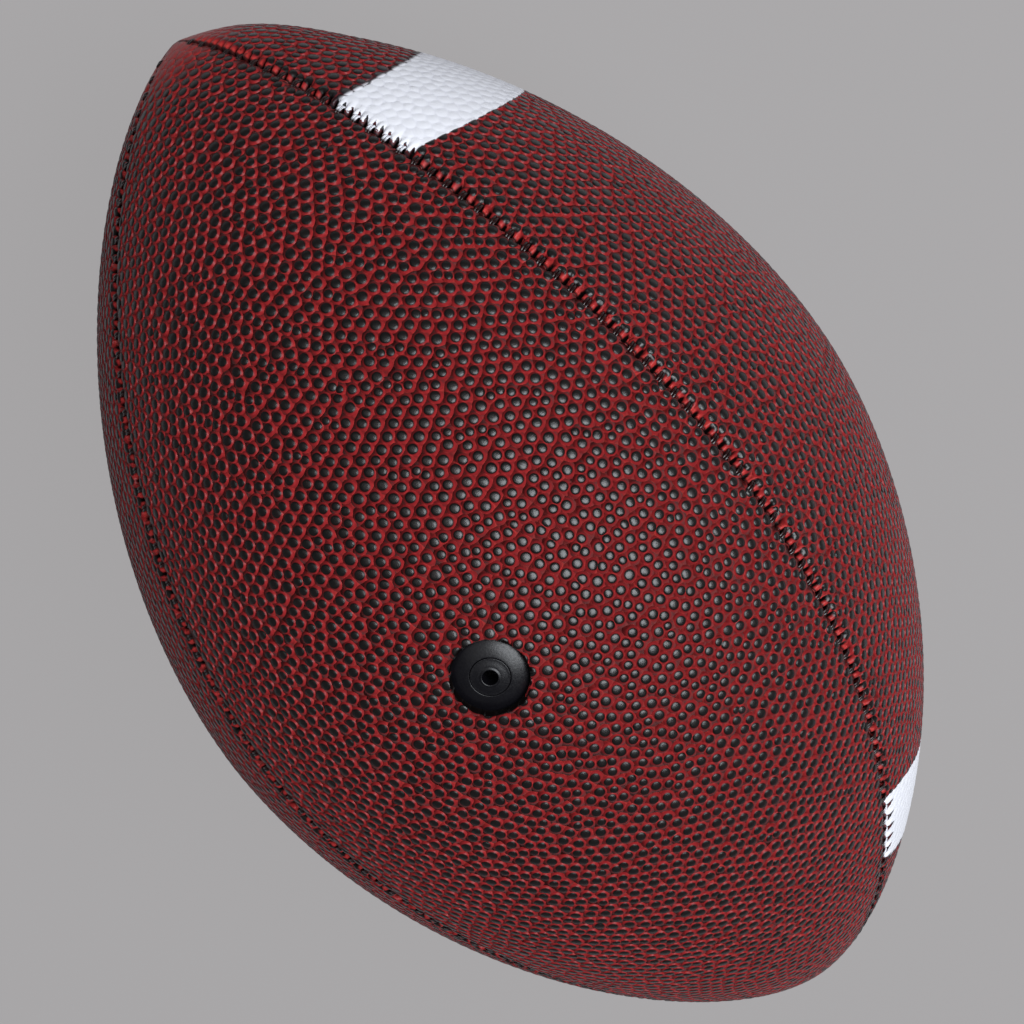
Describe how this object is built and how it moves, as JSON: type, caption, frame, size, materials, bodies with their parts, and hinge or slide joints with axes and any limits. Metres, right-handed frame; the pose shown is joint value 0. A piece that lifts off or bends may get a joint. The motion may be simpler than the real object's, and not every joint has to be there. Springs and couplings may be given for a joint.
{
  "type": "american football",
  "caption": "Pointed football with a pebbled sewn panel cover, linings, an inflatable bladder, a needle valve with a pull-out plug, and white lacing on one seam.",
  "frame": {"origin": "middle of the ball", "axes": "+X along the long axis, +Z through the middle of the valve panel, +Y through the striped panel beside it"},
  "size_m": [0.2046, 0.1264, 0.1263],
  "materials": {
    "pebbled_cover": "pebbled synthetic leather, dark inked pebbles over red",
    "lining_cloth": "woven cotton backing",
    "bladder_rubber": "matt",
    "valve_rubber": "satin",
    "seam_thread": "waxed thread",
    "lace_vinyl": "white grained vinyl",
    "facing_cloth": "stiff coated cloth"
  },
  "bodies": {
    "ball": {"cover_panel_valve": "pebbled_cover", "cover_panel_plain": "pebbled_cover", "cover_panel_striped_lower": "pebbled_cover", "cover_panel_striped_upper": "pebbled_cover", "lining_valve": "lining_cloth", "lining_plain": "lining_cloth", "lining_striped_lower": "lining_cloth", "lining_striped_upper": "lining_cloth", "bladder": "bladder_rubber", "valve_housing": "valve_rubber", "seam_thread_1": "seam_thread", "seam_thread_2": "seam_thread", "seam_thread_3": "seam_thread", "lace_seam_thread_left": "seam_thread", "lace_seam_thread_right": "seam_thread", "lace": "lace_vinyl", "lace_facing_upper": "facing_cloth", "lace_facing_lower": "facing_cloth", "lace_guard": "facing_cloth"},
    "plug": {"valve_plug": "valve_rubber"}
  },
  "joints": [
    {"name": "plug_pull", "type": "slide", "parent": "ball", "child": "plug", "axis": [0, 0, 1], "range_m": [0, 0.02]}
  ]
}
